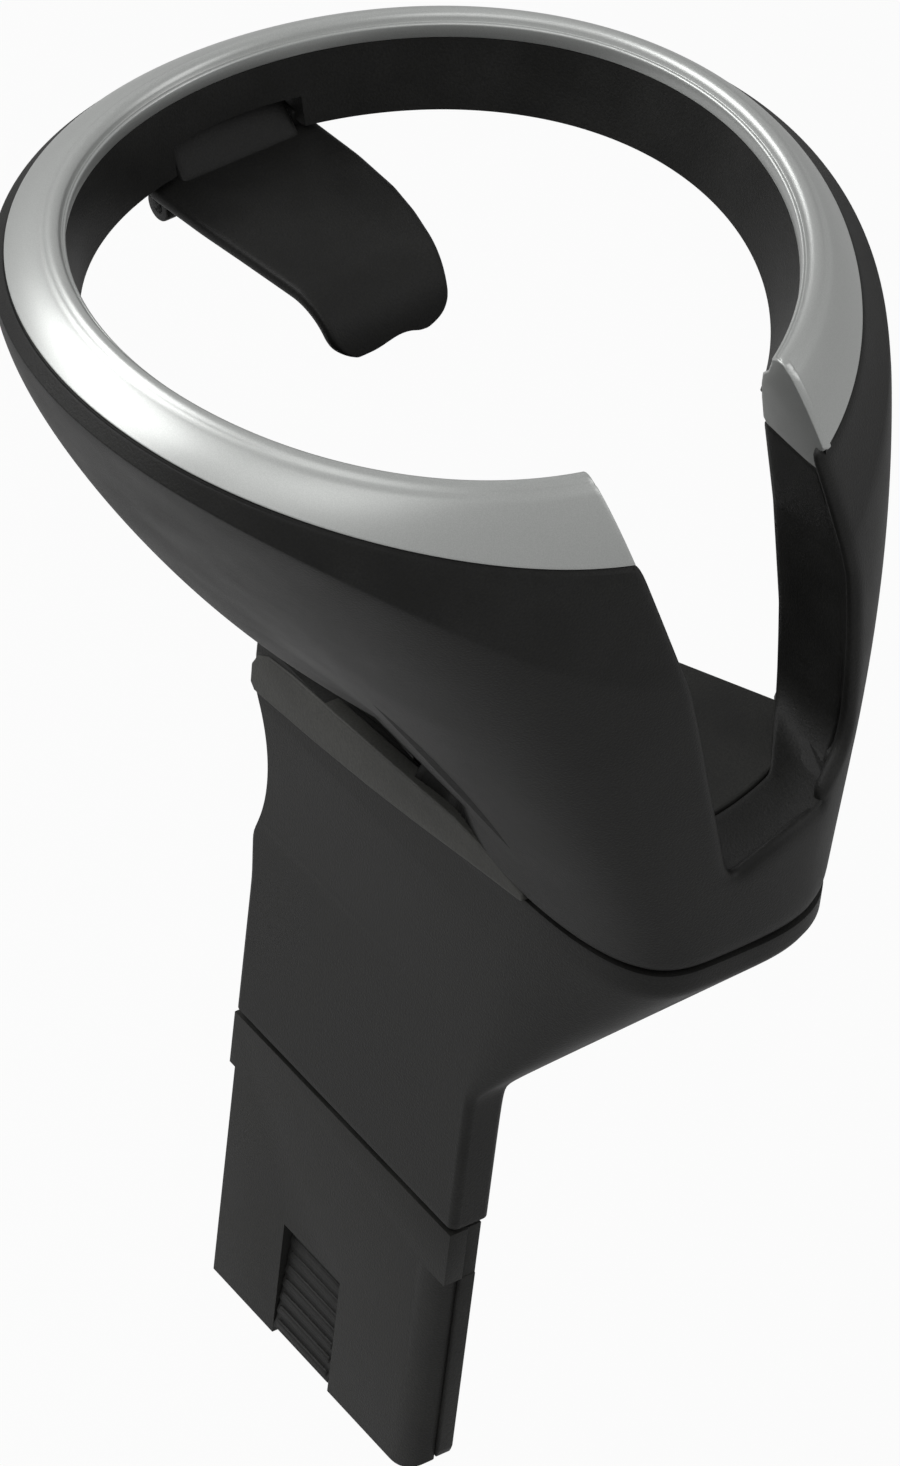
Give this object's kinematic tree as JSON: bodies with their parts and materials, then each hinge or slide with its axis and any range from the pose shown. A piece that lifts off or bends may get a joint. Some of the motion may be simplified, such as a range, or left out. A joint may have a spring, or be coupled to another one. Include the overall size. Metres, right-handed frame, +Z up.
{
  "type": "car cup holder",
  "caption": "Plug-in car cup holder: a silver-trimmed C ring on a tilted scoop, a sprung arm inside the ring, and a flat blade that slides into a socket.",
  "frame": {"origin": "middle of the blade's cross-section, in the shoulder plane where the stem meets the socket's mouth", "axes": "+Z up along the blade towards the ring, +X towards the handle slot (the blade's width), +Y through the blade's thickness, away from its wide outer face"},
  "size_m": [0.0964, 0.097, 0.1756],
  "materials": {
    "silver_paint": "satin metallic silver paint on plastic",
    "black_soft": "fine-grained matt black",
    "black_abs": "fine-grained matt black",
    "arm_abs": "matt black",
    "strip_abs": "matt dark grey",
    "blade_abs": "fine-grained matt black",
    "rubber_pad": "matt rubber",
    "steel": "zinc-plated"
  },
  "bodies": {
    "holder": {"trim_ring": "silver_paint", "scoop_body": "black_soft", "inner_band": "black_abs", "cup_liner": "black_abs", "pillar_lining": "black_abs", "floor_pad": "rubber_pad", "hinge_pin": "steel", "cradle_strip": "strip_abs", "cradle_stem": "black_abs", "stem_cover": "black_abs", "cover_screws": "steel", "floor_screws": "steel", "band_pegs": "black_abs", "blade_front": "blade_abs", "blade_rear": "blade_abs", "blade_screws": "steel", "latch_wedge": "black_abs", "blade_dowels": "blade_abs"},
    "arm": {"spring_arm": "arm_abs", "arm_spring": "steel"}
  },
  "joints": [
    {"name": "arm_hinge", "type": "hinge", "parent": "holder", "child": "arm", "pos_m": [-0.03965, -0.00245, 0.11165], "axis": [0, 0.9976, 0.0698], "range_deg": [0, 42], "stiffness_Nm_per_rad": 0.03, "springref_deg": -28.65}
  ]
}
